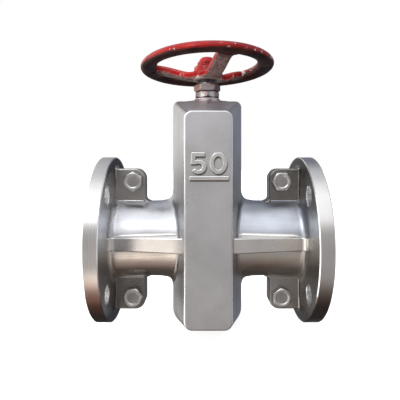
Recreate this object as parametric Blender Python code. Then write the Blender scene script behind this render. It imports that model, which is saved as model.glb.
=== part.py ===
"""Manual pinch valve for a DN50 pipe, in metres, +Z up.

X runs along the pipe, -Y is the front and Z is the stem. The origin is where the bore axis crosses the stem
axis. A split casting holds a rubber sleeve. Turning the handwheel clockwise drives a bar down on the sleeve and
draws a second bar up under it, through right-hand and left-hand threads on one stem.
"""

import bmesh
import bpy
from math import cos, pi, radians, sin, tau

MM = 0.001
GAP = 0.3  # clearance between two pieces that touch on the real valve

# Casting, all in millimetres
FLANGE_R = 80.0
FLANGE_OUT = 103.0
FLANGE_IN = 90.0
FLANGE_HOLE_R = 9.0
FLANGE_CIRCLE_R = 62.5
RECESS_R = 50.5
RECESS_DEPTH = 3.0
NECK_R = 37.8
NECK_BORE_R = 32.4
NECK_FILLET = 6.0
SIDE_FILLET = 5.5
SLAB_FRONT = 64.0
SLAB_HALF_MID, SLAB_HALF_FRONT = 34.6, 20.5
SLAB_TOP_MID, SLAB_TOP_FRONT = 136.3, 117.8
SLAB_BOTTOM_MID, SLAB_BOTTOM_FRONT = -88.0, -68.6
TOP_CORNER_MID, TOP_CORNER_FRONT = 8.0, 7.0
BOTTOM_CORNER_MID, BOTTOM_CORNER_FRONT = 19.5, 7.0
SLAB_EDGE = 1.5
WALL = 5.0
RIB_HALF = 6.0
RIB_AT_FLANGE, RIB_AT_SLAB = 40.0, 48.0
LUG_INNER, LUG_TOP, LUG_THICK, LUG_CORNER = 60.5, 68.7, 9.0, 10.0
LUG_BOLT_X, LUG_BOLT_Z = 72.0, 56.0
NUMERAL_RELIEF = 1.5
NUMERAL_STROKE = 3.8

# Sleeve, bars and rods
SLEEVE_BORE_R, SLEEVE_R, COLLAR_R = 25.0, 32.0, 50.0
SLEEVE_PROUD = 0.6
BAR_HALF, BAR_LENGTH, BAR_DEPTH = 10.0, 58.0, 14.5
BAR_START = SLEEVE_R + GAP
ROD_Y, ROD_R, ROD_END_R = 53.5, 3.6, 3.0
YOKE_END_LOW, YOKE_END_HIGH = 66.0, 76.0
YOKE_HUB_LOW, YOKE_HUB_HIGH = 80.3, 93.0

# Stem and gland
THREAD_R, JOURNAL_R = 8.0, 7.0
STEM_LOW, STEM_HIGH = 38.0, 179.4
POCKET_LOW, POCKET_HIGH, POCKET_R = 122.5, 130.2, 12.9
BOSS_TOP = 138.0

# Handwheel
RIM_R, RIM_Z = 57.8, 171.2
RIM_WIDE, RIM_TALL, RIM_TILT = 8.3, 4.9, radians(-14)
HUB_LOW, HUB_HIGH = 156.3, 169.6
SPOKE_ANGLES = (radians(-72), radians(48), radians(168))

# Sides of the shapes that aren't round
SIDES = {"hex": 6, "square": 4}

NODES = bpy.data.collections.new("pinch_valve")
HELPERS = bpy.data.collections.new("cutters")


def clear_scene():
    for obj in list(bpy.data.objects):
        bpy.data.objects.remove(obj)
    bpy.context.scene.collection.children.link(NODES)
    bpy.context.scene.collection.children.link(HELPERS)


def make_material(name, colour, metallic, roughness):
    material = bpy.data.materials.new(name)
    material.use_nodes = True
    shader = material.node_tree.nodes["Principled BSDF"]
    shader.inputs["Base Color"].default_value = (*colour, 1.0)
    shader.inputs["Metallic"].default_value = metallic
    shader.inputs["Roughness"].default_value = roughness
    material.diffuse_color = (*colour, 1.0)
    return material


# ---------------------------------------------------------------- meshes


def skin(rings, closed=False):
    """A closed solid through rings of points. Without `closed`, the first and last ring are capped."""
    bm = bmesh.new()
    rows = [[bm.verts.new([c * MM for c in point]) for point in points] for points in rings]
    pairs = list(zip(rows, rows[1:]))
    if closed:
        pairs.append((rows[-1], rows[0]))
    for low, high in pairs:
        for i in range(len(low)):
            j = (i + 1) % len(low)
            bm.faces.new((low[i], low[j], high[j], high[i]))
    if not closed:
        bm.faces.new(rows[0])
        bm.faces.new(rows[-1])
    bmesh.ops.recalc_face_normals(bm, faces=bm.faces)
    return bm


def add_object(name, bm, colour_of=None, at=(0, 0, 0)):
    mesh = bpy.data.meshes.new(name)
    bm.to_mesh(mesh)
    bm.free()
    obj = bpy.data.objects.new(name, mesh)
    obj.location = [c * MM for c in at]
    if colour_of:
        NODES.objects.link(obj)
        mesh.materials.append(make_material(name, *colour_of))
    else:
        HELPERS.objects.link(obj)
        obj.hide_render = True
        obj.display_type = "WIRE"
    return obj


def combine(target, tool, operation):
    """Cuts from the target or joins to it, with a helper that stays out of the render."""
    modifier = target.modifiers.new(f"{operation.lower()} {tool.name}", "BOOLEAN")
    modifier.operation = operation
    modifier.solver = "EXACT"
    modifier.object = tool


def cut(target, *tools):
    for tool in tools:
        combine(target, tool, "DIFFERENCE")


def join(target, *tools):
    for tool in tools:
        combine(target, tool, "UNION")


def ring(height, radius, kind="round", turn=0.0, count=24, axis="z"):
    """One ring of points about an axis. For a hexagon or a square, the radius is half its width over flats."""
    points = []
    for i in range(count):
        angle = tau * i / count
        reach = radius
        if kind in SIDES:
            sector = tau / SIDES[kind]
            reach = radius / cos(angle % sector - sector / 2)
        u = reach * cos(angle + turn)
        v = reach * sin(angle + turn)
        points.append({"x": (height, u, v), "y": (u, height, v), "z": (u, v, height)}[axis])
    return points


def turned(steps, closed=False, **options):
    """A turned piece from (height, radius) or (height, radius, kind) steps."""
    return skin([ring(*step, **options) for step in steps], closed)


def round_corner(centre, radius, start, steps=5):
    """A quarter of a circle in a plane, as points from angle `start`."""
    points = []
    for i in range(steps + 1):
        angle = start + pi / 2 * i / steps
        points.append((centre[0] + radius * cos(angle), centre[1] + radius * sin(angle)))
    return points


def extrude(outline, low, high, axis="y"):
    """A prism from a plane outline. Along y the outline is (x, z), and along z it is (x, y)."""
    rings = []
    for level in (low, high):
        if axis == "y":
            rings.append([(a, level, b) for a, b in outline])
        elif axis == "x":
            rings.append([(level, a, b) for a, b in outline])
        else:
            rings.append([(a, b, level) for a, b in outline])
    return skin(rings)


def box(name, low, high):
    outline = [(low[0], low[2]), (high[0], low[2]), (high[0], high[2]), (low[0], high[2])]
    return add_object(name, extrude(outline, low[1], high[1]))


# ---------------------------------------------------------------- casting


def mix(first, last, share):
    return first + (last - first) * share


def slab_outline(y, inset):
    """The slab's rounded outline at a distance from the parting plane."""
    share = min(max(abs(y) / SLAB_FRONT, 0.0), 1.0)
    half = mix(SLAB_HALF_MID, SLAB_HALF_FRONT, share) - inset
    top = mix(SLAB_TOP_MID, SLAB_TOP_FRONT, share) - inset
    bottom = mix(SLAB_BOTTOM_MID, SLAB_BOTTOM_FRONT, share) + inset
    upper = max(mix(TOP_CORNER_MID, TOP_CORNER_FRONT, share) - inset, 2.0)
    lower = max(mix(BOTTOM_CORNER_MID, BOTTOM_CORNER_FRONT, share) - inset, 2.0)
    outline = round_corner((half - upper, top - upper), upper, 0.0)
    outline += round_corner((-half + upper, top - upper), upper, pi / 2)
    outline += round_corner((-half + lower, bottom + lower), lower, pi)
    outline += round_corner((half - lower, bottom + lower), lower, 3 * pi / 2)
    return outline


def slab(inset, depth, edge):
    """The tall box that tapers both ways from the parting plane, with rounded front and rear edges."""
    levels = [(0.0, inset), (depth - edge, inset)]
    for i in range(1, 4):
        angle = pi / 2 * i / 3
        levels.append((depth - edge + edge * sin(angle), inset + edge * (1 - cos(angle))))
    rings = []
    for y, taken in [(-y, taken) for y, taken in reversed(levels)] + levels[1:]:
        rings.append([(x, y, z) for x, z in slab_outline(y, taken)])
    return skin(rings)


def pipe_body(name):
    """Both flanges and the neck between them, turned about the bore axis."""
    half = [(FLANGE_OUT, FLANGE_R - 0.7), (FLANGE_OUT - 0.7, FLANGE_R), (FLANGE_IN + 0.7, FLANGE_R)]
    half.append((FLANGE_IN, FLANGE_R - 0.7))
    for i in range(5):
        angle = pi / 2 * (1 - i / 4)
        x = FLANGE_IN - NECK_FILLET + NECK_FILLET * sin(angle)
        half.append((x, NECK_R + NECK_FILLET - NECK_FILLET * cos(angle)))
    steps = half + [(-x, r) for x, r in reversed(half)]
    return add_object(name, turned(steps, count=48, axis="x", turn=tau / 96))


def side_at(y):
    return mix(SLAB_HALF_MID, SLAB_HALF_FRONT, abs(y) / SLAB_FRONT)


def neck_fillet(name, end):
    """The fillet where the neck meets the slab's sloping side."""
    levels = [(-3.0, NECK_R + SIDE_FILLET)]
    for i in range(5):
        angle = pi / 2 * i / 4
        levels.append((SIDE_FILLET * (1 - cos(angle)), NECK_R + SIDE_FILLET * (1 - sin(angle))))
    levels.append((SIDE_FILLET, NECK_R - 4.0))
    rings = []
    sunk = 0.07
    for rise, radius in [(level - sunk, r - sunk) for level, r in levels]:
        points = ring(0.0, radius, count=32, axis="x", turn=tau / 64)
        rings.append([(end * (side_at(y) + rise), y, z) for _, y, z in points])
    return add_object(name, skin(rings))


def rib(name, end, side):
    """The horizontal rib between the slab's side and the flange."""
    outline = [
        (end * (side_at(RIB_AT_SLAB) - 3.0), side * 34.0),
        (end * (side_at(RIB_AT_SLAB) - 3.0), side * RIB_AT_SLAB),
        (end * (side_at(RIB_AT_SLAB) + 4.0), side * RIB_AT_SLAB),
        (end * (FLANGE_IN + 2.0), side * RIB_AT_FLANGE),
        (end * (FLANGE_IN + 2.0), side * 34.0),
    ]
    return add_object(name, extrude(outline, -RIB_HALF, RIB_HALF, "z"))


def lug(name, end, up):
    """One bolting lug, across both halves. Each half keeps its own side of it."""
    outline = [(FLANGE_IN + 2.0, 30.0), (FLANGE_IN + 2.0, LUG_TOP + 3.0)]
    for x, z in round_corner((FLANGE_IN - 3.0, LUG_TOP + 3.0), 3.0, 3 * pi / 2, 3)[::-1]:
        outline.append((x, z))
    outline += round_corner((LUG_INNER + LUG_CORNER, LUG_TOP - LUG_CORNER), LUG_CORNER, pi / 2, 4)
    outline.append((LUG_INNER, 30.0))
    placed = [(end * x, up * z) for x, z in outline]
    return add_object(name, extrude(placed, -LUG_THICK, LUG_THICK))


def arc(centre, reach, first, last, steps):
    """Points on an upright ellipse between two angles in degrees."""
    points = []
    for i in range(steps + 1):
        angle = radians(mix(first, last, i / steps))
        points.append((centre[0] + reach[0] * cos(angle), centre[1] + reach[1] * sin(angle)))
    return points


def make_numerals():
    """The raised nominal size on the front: a plain 5, a plain 0 and a bar under them."""
    back, front = -SLAB_FRONT + 1.5, -SLAB_FRONT - NUMERAL_RELIEF
    bowl = (-7.9, 70.1)
    five = [(-2.6, 82.3), (-2.6, 78.7), (-10.4, 78.7), (-10.8, 75.6)]
    five += arc(bowl, (6.6, 6.0), 100, -150, 10)
    five += arc(bowl, (2.9, 2.4), -150, 130, 8)
    five += [(-14.6, 72.4), (-13.8, 82.3)]
    zero = (9.2, 73.2)
    outer, inner = arc(zero, (7.1, 9.1), 0, 342, 19), arc(zero, (3.4, 5.4), 0, 342, 19)
    rings = []
    for loop, level in ((outer, back), (outer, front), (inner, front), (inner, back)):
        rings.append([(x, level, z) for x, z in loop])
    bar = [(-16.2, 58.8), (17.9, 58.8), (17.9, 62.2), (-16.2, 62.2)]
    return [
        add_object("numeral_five", extrude(five, back, front)),
        add_object("numeral_zero", skin(rings, closed=True)),
        add_object("numeral_bar", extrude(bar, back, front)),
    ]


def make_casting_tools():
    """The shapes that both casting halves are joined from or cut by."""
    adds = [pipe_body("pipe_body")]
    for end, word in ((-1, "left"), (1, "right")):
        adds.append(neck_fillet(f"neck_fillet_{word}", end))
        for up, level in ((-1, "lower"), (1, "upper")):
            adds.append(lug(f"lug_{word}_{level}", end, up))
    boss = [(128.0, 14.5), (136.2, 14.5), (136.9, 13.0), (BOSS_TOP, 12.0)]
    adds.append(add_object("boss", turned(boss)))
    holes = []
    bore = [(FLANGE_OUT + 5, RECESS_R), (FLANGE_OUT - RECESS_DEPTH, RECESS_R)]
    bore += [(FLANGE_OUT - RECESS_DEPTH, 36.4), (FLANGE_OUT - 7.0, NECK_BORE_R)]
    steps = bore + [(-x, r) for x, r in reversed(bore)]
    holes.append(add_object("bore", turned(steps, count=40, axis="x")))
    for i in range(4):
        angle = radians(45 + 90 * i)
        y, z = FLANGE_CIRCLE_R * cos(angle), FLANGE_CIRCLE_R * sin(angle)
        for end in (-1, 1):
            tool = turned([(end * 88.0, FLANGE_HOLE_R), (end * 115.0, FLANGE_HOLE_R)], axis="x")
            holes.append(add_object(f"flange_hole_{i}_{end}", tool, at=(0, y, z)))
    for end in (-1, 1):
        for up in (-1, 1):
            tool = turned([(-20.0, 5.5), (20.0, 5.5)], axis="y", count=16)
            at = (end * LUG_BOLT_X, 0, up * LUG_BOLT_Z)
            holes.append(add_object(f"lug_hole_{end}_{up}", tool, at=at))
    stem_way = [(110.0, THREAD_R + 0.6), (POCKET_LOW, THREAD_R + 0.6), (POCKET_LOW, POCKET_R)]
    stem_way += [(POCKET_HIGH, POCKET_R), (POCKET_HIGH, 10.3), (150.0, 10.3)]
    holes.append(add_object("stem_way", turned(stem_way)))
    for end in (-1, 1):
        for side in (-1, 1):
            adds.append(rib(f"rib_{end}_{side}", end, side))
    inner_boss = add_object("inner_boss", turned([(119.5, 17.0), (134.0, 17.0)]))
    hollow = add_object("hollow", slab(WALL, SLAB_FRONT - WALL, 3.0))
    return adds, inner_boss, hollow, holes


def make_half(name, side, adds, inner_boss, hollow, holes):
    """One casting half: side -1 is the front and +1 the rear."""
    half = add_object(name, slab(0.0, SLAB_FRONT, SLAB_EDGE), (STEEL, 1.0, 0.35))
    join(half, *adds)
    if side < 0:
        join(half, *make_numerals())
    cut(half, hollow)
    join(half, inner_boss)
    cut(half, *holes)
    away = sorted((-side * 200.0, side * GAP / 2))
    cut(half, box(f"beyond_{name}", (-200, away[0], -200), (200, away[1], 200)))
    return half


# ---------------------------------------------------------------- sleeve, bars and rods


def make_sleeve():
    end = FLANGE_OUT + SLEEVE_PROUD
    back = FLANGE_OUT - RECESS_DEPTH + GAP
    outside = [(end, COLLAR_R - 0.5), (end - 0.5, COLLAR_R), (back, COLLAR_R), (back, 35.6)]
    outside += [(FLANGE_OUT - 7.0, SLEEVE_R)]
    steps = [(end, SLEEVE_BORE_R + 1.0)] + outside
    steps += [(-x, r) for x, r in reversed(outside)] + [(-end, SLEEVE_BORE_R + 1.0)]
    steps += [(-end + 1.0, SLEEVE_BORE_R), (end - 1.0, SLEEVE_BORE_R)]
    add_object("rubber_sleeve", turned(steps, closed=True, count=36, axis="x"), (RUBBER, 0.0, 0.6))


def bar_section(up):
    """The cross-section of a pinch bar, with its rounded nose towards the sleeve."""
    nose = 7.0
    start = BAR_START
    outline = [(-BAR_HALF, start + BAR_DEPTH), (-BAR_HALF, start + nose)]
    outline += round_corner((-BAR_HALF + nose, start + nose), nose, pi, 4)[1:]
    outline += round_corner((BAR_HALF - nose, start + nose), nose, 3 * pi / 2, 4)
    outline += [(BAR_HALF, start + BAR_DEPTH)]
    return [(x, up * z) for x, z in outline]


def make_upper_bar():
    bar = add_object("upper_pinch_bar", extrude(bar_section(1), -BAR_LENGTH, BAR_LENGTH), (IRON, 0.9, 0.45))
    boss = [(40.0, 15.0), (71.0, 15.0), (72.0, 14.0)]
    join(bar, add_object("upper_boss", turned(boss)))
    way = [(36.5, THREAD_R + 0.6), (60.0, THREAD_R + 0.6), (60.0, 11.5), (80.0, 11.5)]
    cut(bar, add_object("upper_way", turned(way)))
    for side in (-1, 1):
        slot = sorted((side * (ROD_Y - ROD_R - 0.5), side * 70.0))
        reach = ROD_R + 0.5
        cut(bar, box(f"rod_slot_{side}", (-reach, slot[0], 20), (reach, slot[1], 60)))
    cut(bar, add_object("upper_screw_hole", turned([(9.0, 2.2), (20.0, 2.2)], axis="x"), at=(0, 0, 66)))
    nut = [(60.3, 8.3), (60.3, 11.2), (72.3, 11.2), (72.3, 13.6), (75.0, 13.6), (75.0, 8.3)]
    add_object("upper_bar_nut", turned(nut, closed=True), (BRASS, 1.0, 0.3))
    screw = turned([(11.5, 1.9), (15.4, 1.9)], axis="x", count=12)
    add_object("upper_nut_screw", screw, (DARK, 1.0, 0.4), at=(0, 0, 66))


def make_lower_bar():
    bar = add_object("lower_pinch_bar", extrude(bar_section(-1), -BAR_LENGTH, BAR_LENGTH), (IRON, 0.9, 0.45))
    for side in (-1, 1):
        hole = turned([(-60.0, ROD_END_R + 0.3), (-20.0, ROD_END_R + 0.3)])
        cut(bar, add_object(f"lower_rod_hole_{side}", hole, at=(0, side * ROD_Y, 0)))


def make_crosshead():
    """The yoke above the upper bar that draws the two rods up."""
    outline = [(-16, YOKE_HUB_LOW + 1.0), (-46, YOKE_END_LOW), (-BAR_LENGTH, YOKE_END_LOW)]
    outline += [(-BAR_LENGTH, YOKE_END_HIGH), (-46, YOKE_END_HIGH), (-16, YOKE_HUB_HIGH - 1.0)]
    outline += [(-y, z) for y, z in reversed(outline)]
    yoke = add_object("crosshead", extrude(outline, -BAR_HALF, BAR_HALF, "x"), (IRON, 0.9, 0.45))
    hub = turned([(YOKE_HUB_LOW, 15.0), (YOKE_HUB_HIGH, 15.0)])
    join(yoke, add_object("yoke_hub", hub))
    cut(yoke, add_object("yoke_way", turned([(70.0, 11.5), (110.0, 11.5)])))
    for side in (-1, 1):
        hole = turned([(50.0, ROD_END_R + 0.3), (90.0, ROD_END_R + 0.3)])
        cut(yoke, add_object(f"yoke_rod_hole_{side}", hole, at=(0, side * ROD_Y, 0)))
    screw_at = (0, 0, (YOKE_HUB_LOW + YOKE_HUB_HIGH) / 2)
    cut(yoke, add_object("yoke_screw_hole", turned([(9.0, 2.2), (20.0, 2.2)], axis="x"), at=screw_at))
    nut = [(77.2, 8.3), (77.2, 13.6), (80.0, 13.6), (80.0, 11.2), (92.7, 11.2), (92.7, 8.3)]
    add_object("crosshead_nut", turned(nut, closed=True), (BRASS, 1.0, 0.3))
    screw = turned([(11.5, 1.9), (15.4, 1.9)], axis="x", count=12)
    add_object("crosshead_screw", screw, (DARK, 1.0, 0.4), at=screw_at)


def make_rods():
    low, high = -BAR_START - BAR_DEPTH, YOKE_END_HIGH
    for side, word in ((-1, "front"), (1, "rear")):
        steps = [(low - 7.2, ROD_END_R), (-BAR_START + GAP, ROD_END_R), (-BAR_START + GAP, ROD_R)]
        steps += [(YOKE_END_LOW - GAP, ROD_R), (YOKE_END_LOW - GAP, ROD_END_R), (high + 7.2, ROD_END_R)]
        add_object(f"tie_rod_{word}", turned(steps, count=12), (STEEL, 1.0, 0.3), at=(0, side * ROD_Y, 0))
        for base, level in ((high + GAP, "upper"), (low - GAP - 5.0, "lower")):
            nut = nut_mesh(base, 5.0, 5.0, ROD_END_R + 0.3, "z", 0.0)
            add_object(f"rod_nut_{word}_{level}", nut, (STEEL, 1.0, 0.3), at=(0, side * ROD_Y, 0))


# ---------------------------------------------------------------- fasteners


def nut_mesh(base, tall, half_flats, hole_r, axis, turn):
    """A chamfered hexagon nut."""
    c = 0.12 * half_flats
    steps = [(base, hole_r), (base, half_flats * 0.97, "round"), (base + c, half_flats, "hex")]
    steps += [(base + tall - c, half_flats, "hex"), (base + tall, half_flats * 0.97, "round"), (base + tall, hole_r)]
    return turned(steps, closed=True, axis=axis, turn=turn, count=12)


def make_lug_bolts():
    """A bolt through each pair of lugs, with its head in front and its washer and nut at the rear."""
    turns = {(-1, 1): 90, (1, 1): 60, (-1, -1): 68, (1, -1): 98}
    for (end, up), degrees in turns.items():
        word = f"{'left' if end < 0 else 'right'}_{'upper' if up > 0 else 'lower'}"
        at = (end * LUG_BOLT_X, 0, up * LUG_BOLT_Z)
        face = -LUG_THICK - GAP
        steps = [(face - 6.4, 8.2), (face - 5.4, 8.5, "hex"), (face, 8.5, "hex"), (face, 4.9), (21.5, 4.9), (22.5, 4.1)]
        bolt = turned(steps, axis="y", turn=radians(degrees), count=12)
        add_object(f"lug_bolt_{word}", bolt, (STEEL, 1.0, 0.3), at=at)
        washer = [(LUG_THICK + GAP, 5.3), (LUG_THICK + GAP, 8.8), (LUG_THICK + 2.7, 8.8), (LUG_THICK + 2.7, 5.3)]
        add_object(f"lug_washer_{word}", turned(washer, closed=True, axis="y", count=16), (STEEL, 1.0, 0.35), at=at)
        nut = nut_mesh(LUG_THICK + 3.0, 8.0, 8.5, 5.2, "y", radians(degrees + 17))
        add_object(f"lug_nut_{word}", nut, (STEEL, 1.0, 0.3), at=at)


# ---------------------------------------------------------------- stem, gland and handwheel


def make_stem():
    steps = [(STEM_LOW, 7.0), (STEM_LOW + 1.0, THREAD_R), (77.5, THREAD_R), (78.3, 7.0), (79.3, 7.0)]
    steps += [(80.1, THREAD_R), (119.0, THREAD_R), (120.0, THREAD_R), (124.6, THREAD_R), (124.6, 12.0)]
    steps += [(128.1, 12.0), (128.1, JOURNAL_R), (HUB_LOW + 0.9, JOURNAL_R)]
    stem = add_object("stem", turned(steps + [(HUB_LOW + 1.0, JOURNAL_R)]), (STEEL, 1.0, 0.3))
    square = turned([(HUB_LOW - 1.0, 5.2, "square"), (HUB_HIGH - 0.6, 5.2, "square")])
    square_piece = add_object("stem_square", square)
    join(stem, square_piece)
    end = [(HUB_HIGH - 2.0, 4.9), (STEM_HIGH - 1.0, 4.9), (STEM_HIGH, 4.0)]
    join(stem, add_object("stem_end", turned(end)))


def make_thrust_washers():
    for base, word in ((122.8, "lower"), (128.4, "upper")):
        hole = 8.3 if word == "lower" else JOURNAL_R + 0.3
        steps = [(base, hole), (base, 12.4), (base + 1.5, 12.4), (base + 1.5, hole)]
        add_object(f"thrust_washer_{word}", turned(steps, closed=True), (BRASS, 1.0, 0.3))


def make_gland():
    """The screwed bushing that guides the stem, its packing and the nut that presses the packing."""
    hole = JOURNAL_R + 0.3
    outside = [(130.5, hole), (130.5, 10.0), (BOSS_TOP + GAP, 10.0), (BOSS_TOP + GAP, 11.0)]
    outside += [(BOSS_TOP + 0.9, 11.6, "hex"), (143.6, 11.6, "hex"), (144.4, 11.2), (144.4, 9.2)]
    outside += [(150.6, 9.2), (150.6, 8.6), (146.8, 8.6), (146.8, hole)]
    bushing = turned(outside, closed=True, turn=radians(18))
    add_object("stem_bushing", bushing, (STEEL, 1.0, 0.3))
    packing = [(147.1, hole), (147.1, 8.3), (150.3, 8.3), (150.3, hole)]
    add_object("stem_packing", turned(packing, closed=True), (RUBBER, 0.0, 0.7))
    nut = [(144.8, 9.5), (144.8, 11.0), (145.5, 11.4, "hex"), (150.9, 11.4, "hex"), (152.1, 10.3)]
    nut += [(153.4, 9.0), (153.4, hole), (150.9, hole), (150.9, 9.5)]
    add_object("gland_nut", turned(nut, closed=True, turn=radians(2)), (STEEL, 1.0, 0.3))


def rim_rings():
    rings = []
    for i in range(48):
        around = tau * i / 48
        points = []
        for k in range(10):
            angle = tau * k / 10
            u, v = RIM_WIDE * cos(angle), RIM_TALL * sin(angle)
            r = RIM_R + u * cos(RIM_TILT) - v * sin(RIM_TILT)
            z = RIM_Z + u * sin(RIM_TILT) + v * cos(RIM_TILT)
            points.append((r * cos(around), r * sin(around), z))
        rings.append(points)
    return rings


def spoke_rings(around):
    """A spoke that rises from the hub's foot to the rim."""
    path = [(7.0, 160.8), (14.0, 160.8), (24.0, 162.0), (36.0, 165.8), (46.0, 169.3), (56.0, 171.0)]
    rings = []
    for i, (r, z) in enumerate(path):
        before, after = path[max(i - 1, 0)], path[min(i + 1, len(path) - 1)]
        dr, dz = after[0] - before[0], after[1] - before[1]
        length = (dr * dr + dz * dz) ** 0.5
        half = mix(8.6, 6.0, i / (len(path) - 1))
        points = []
        for k in range(12):
            angle = tau * k / 12
            wide = half * abs(cos(angle)) ** 0.7 * (1 if cos(angle) >= 0 else -1)
            tall = 4.0 * abs(sin(angle)) ** 0.7 * (1 if sin(angle) >= 0 else -1)
            reach, level = r - tall * dz / length, z + tall * dr / length
            x = reach * cos(around) - wide * sin(around)
            y = reach * sin(around) + wide * cos(around)
            points.append((x, y, level))
        rings.append(points)
    return rings


def make_handwheel():
    wheel = add_object("handwheel", skin(rim_rings(), closed=True), (RED, 0.0, 0.3))
    hub = [(HUB_LOW, 13.4), (HUB_LOW + 1.0, 14.5), (160.0, 14.5), (166.0, 13.4), (HUB_HIGH - 0.8, 13.0), (HUB_HIGH, 12.2)]
    join(wheel, add_object("wheel_hub", turned(hub)))
    for i, around in enumerate(SPOKE_ANGLES):
        join(wheel, add_object(f"spoke_{i}", skin(spoke_rings(around))))
    hole = turned([(150.0, 5.6, "square"), (180.0, 5.6, "square")])
    cut(wheel, add_object("wheel_square", hole))
    foot = turned([(150.0, 7.4), (HUB_LOW + 1.5, 7.4)])
    cut(wheel, add_object("wheel_foot", foot))
    washer = [(170.0, 5.3), (170.0, 10.6), (171.7, 10.6), (171.7, 5.3)]
    add_object("handwheel_washer", turned(washer, closed=True), (RED, 0.0, 0.35))
    nut = nut_mesh(172.0, 7.0, 8.5, 5.3, "z", radians(12))
    add_object("handwheel_nut", nut, (RED, 0.0, 0.35))


# ---------------------------------------------------------------- build

STEEL = (0.62, 0.61, 0.63)
IRON = (0.22, 0.23, 0.24)
BRASS = (0.66, 0.50, 0.22)
DARK = (0.10, 0.10, 0.11)
RUBBER = (0.03, 0.03, 0.03)
RED = (0.62, 0.03, 0.03)

clear_scene()
casting_tools = make_casting_tools()
make_half("front_housing", -1, *casting_tools)
make_half("rear_housing", 1, *casting_tools)
make_sleeve()
make_upper_bar()
make_lower_bar()
make_crosshead()
make_rods()
make_lug_bolts()
make_stem()
make_thrust_washers()
make_gland()
make_handwheel()
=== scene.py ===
"""Looks for the manual pinch valve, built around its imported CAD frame. Lengths are in millimetres until a
mesh is made. X runs along the pipe, -Y is the front and Z is the stem."""

from math import atan2, cos, degrees, hypot, pi, radians, sin, sqrt, tan, tau

import bmesh
import bpy
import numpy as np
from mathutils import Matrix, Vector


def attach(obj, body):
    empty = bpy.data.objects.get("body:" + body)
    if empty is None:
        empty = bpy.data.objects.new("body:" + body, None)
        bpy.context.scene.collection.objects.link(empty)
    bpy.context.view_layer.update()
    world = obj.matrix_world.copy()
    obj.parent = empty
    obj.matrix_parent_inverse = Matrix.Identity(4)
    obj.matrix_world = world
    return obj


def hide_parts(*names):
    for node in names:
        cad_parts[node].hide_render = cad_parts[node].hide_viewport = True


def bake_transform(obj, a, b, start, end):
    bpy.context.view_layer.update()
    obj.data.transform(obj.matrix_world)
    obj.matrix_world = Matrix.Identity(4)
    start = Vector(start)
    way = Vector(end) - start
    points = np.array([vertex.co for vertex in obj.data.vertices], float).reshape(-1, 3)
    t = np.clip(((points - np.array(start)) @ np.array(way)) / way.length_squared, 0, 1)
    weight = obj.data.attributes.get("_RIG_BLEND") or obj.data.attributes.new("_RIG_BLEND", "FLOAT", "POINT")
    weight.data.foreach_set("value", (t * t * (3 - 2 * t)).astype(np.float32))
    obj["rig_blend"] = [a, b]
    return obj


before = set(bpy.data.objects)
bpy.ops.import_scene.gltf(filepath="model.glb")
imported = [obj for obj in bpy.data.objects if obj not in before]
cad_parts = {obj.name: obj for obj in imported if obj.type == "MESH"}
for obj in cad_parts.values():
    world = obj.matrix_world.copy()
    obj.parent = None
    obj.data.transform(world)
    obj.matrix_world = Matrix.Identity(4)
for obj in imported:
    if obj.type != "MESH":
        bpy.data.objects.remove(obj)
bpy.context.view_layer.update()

MM = 0.001
AROUND = 48  # points round a fastener or a small turned part
SEAM = 0.15  # half the line between the two castings
OVERLAP = 0.06  # how far the edge of a fillet runs under the surface that it meets

# Casting
FLANGE_R, FLANGE_OUT, FLANGE_IN = 79.8, 103.0, 90.0
HOLE_R, HOLE_CIRCLE_R = 9.0, 62.5
RECESS_R, RECESS_DEPTH = 50.5, 3.0
FLANGE_CHAMFER = 0.8
NECK_R, BORE_R = 37.8, 32.4
WAIST, WAIST_X, WAIST_REACH = 0.9, 57.0, 27.0  # how much slimmer the neck is, where, and over what length
PIPE_POINTS = 144
FLANGE_FILLET, SIDE_FILLET, FRONT_FILLET = 6.0, 8.0, 2.5
FILLET_STEPS, NECK_STEPS = 12, 12
CROSSING = 8  # degrees between the slab's side and the fillet that runs into it
SLAB_FRONT = 64.0
SLAB_HALF = (34.6, 20.5)  # at the parting plane, and at the front face
SLAB_TOP = (136.3, 117.8)
SLAB_BOTTOM = (-88.0, -68.6)
TOP_CORNER = (6.0, 7.0)
BOTTOM_CORNER = (19.5, 7.0)
SLAB_EDGE, WALL = 1.5, 5.0
RIB_START, RIB_LOW, RIB_ROOT, RIB_CORNER = 24.0, -6.0, 32.8, 1.2
RIB_TOP = (7.8, 6.2)  # at the slab, and at the flange
RIB_FRONT = (54.0, 40.5)
LUG_INNER, LUG_TOP, LUG_FACE, LUG_CORNER = 60.5, 68.7, 9.0, 10.0
LUG_EDGE, LUG_FILLET = 1.8, 1.8
LUG_BOLT_X, LUG_BOLT_Z = 72.0, 56.0
BOSS_TOP, FLARE_R = 138.0, 20.0

# Raised number
RELIEF, DIGIT_EDGE = 1.7, 0.55
DIGIT_TOP, DIGIT_STROKE = 82.3, 3.6
BOWL, BOWL_OUTER, BOWL_INNER = (-8.2, 70.1), (6.6, 6.0), (3.1, 2.6)
ZERO, ZERO_OUTER, ZERO_INNER = (8.5, 73.2), (7.5, 9.1), (3.8, 5.6)
BAR_ENDS, BAR_LEVELS = (-15.9, 17.1), (58.8, 62.2)
# painted shadow under the raised number: how proud and how rounded its dark copies are, and how far down and
# right they stand
SHADOW_RELIEF, SHADOW_EDGE, SHADOW_SHIFT = 0.12, 0.05, (0.5, -1.3)

# M10 fasteners
M10_R, M10_DEPTH, M10_PITCH = 4.9, 0.8, 1.5
M10_HEX, M10_HOLE, HEAD_HEIGHT = 8.5, 5.2, 6.4

# Stem and gland
STEM_R, STEM_DEPTH, STEM_PITCH, STEM_NECK_R = 8.0, 1.8, 4.0, 7.0
RUNOUT = 0.6  # how far a thread fades at its ends
GLAND_HOLE = 7.3

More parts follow.
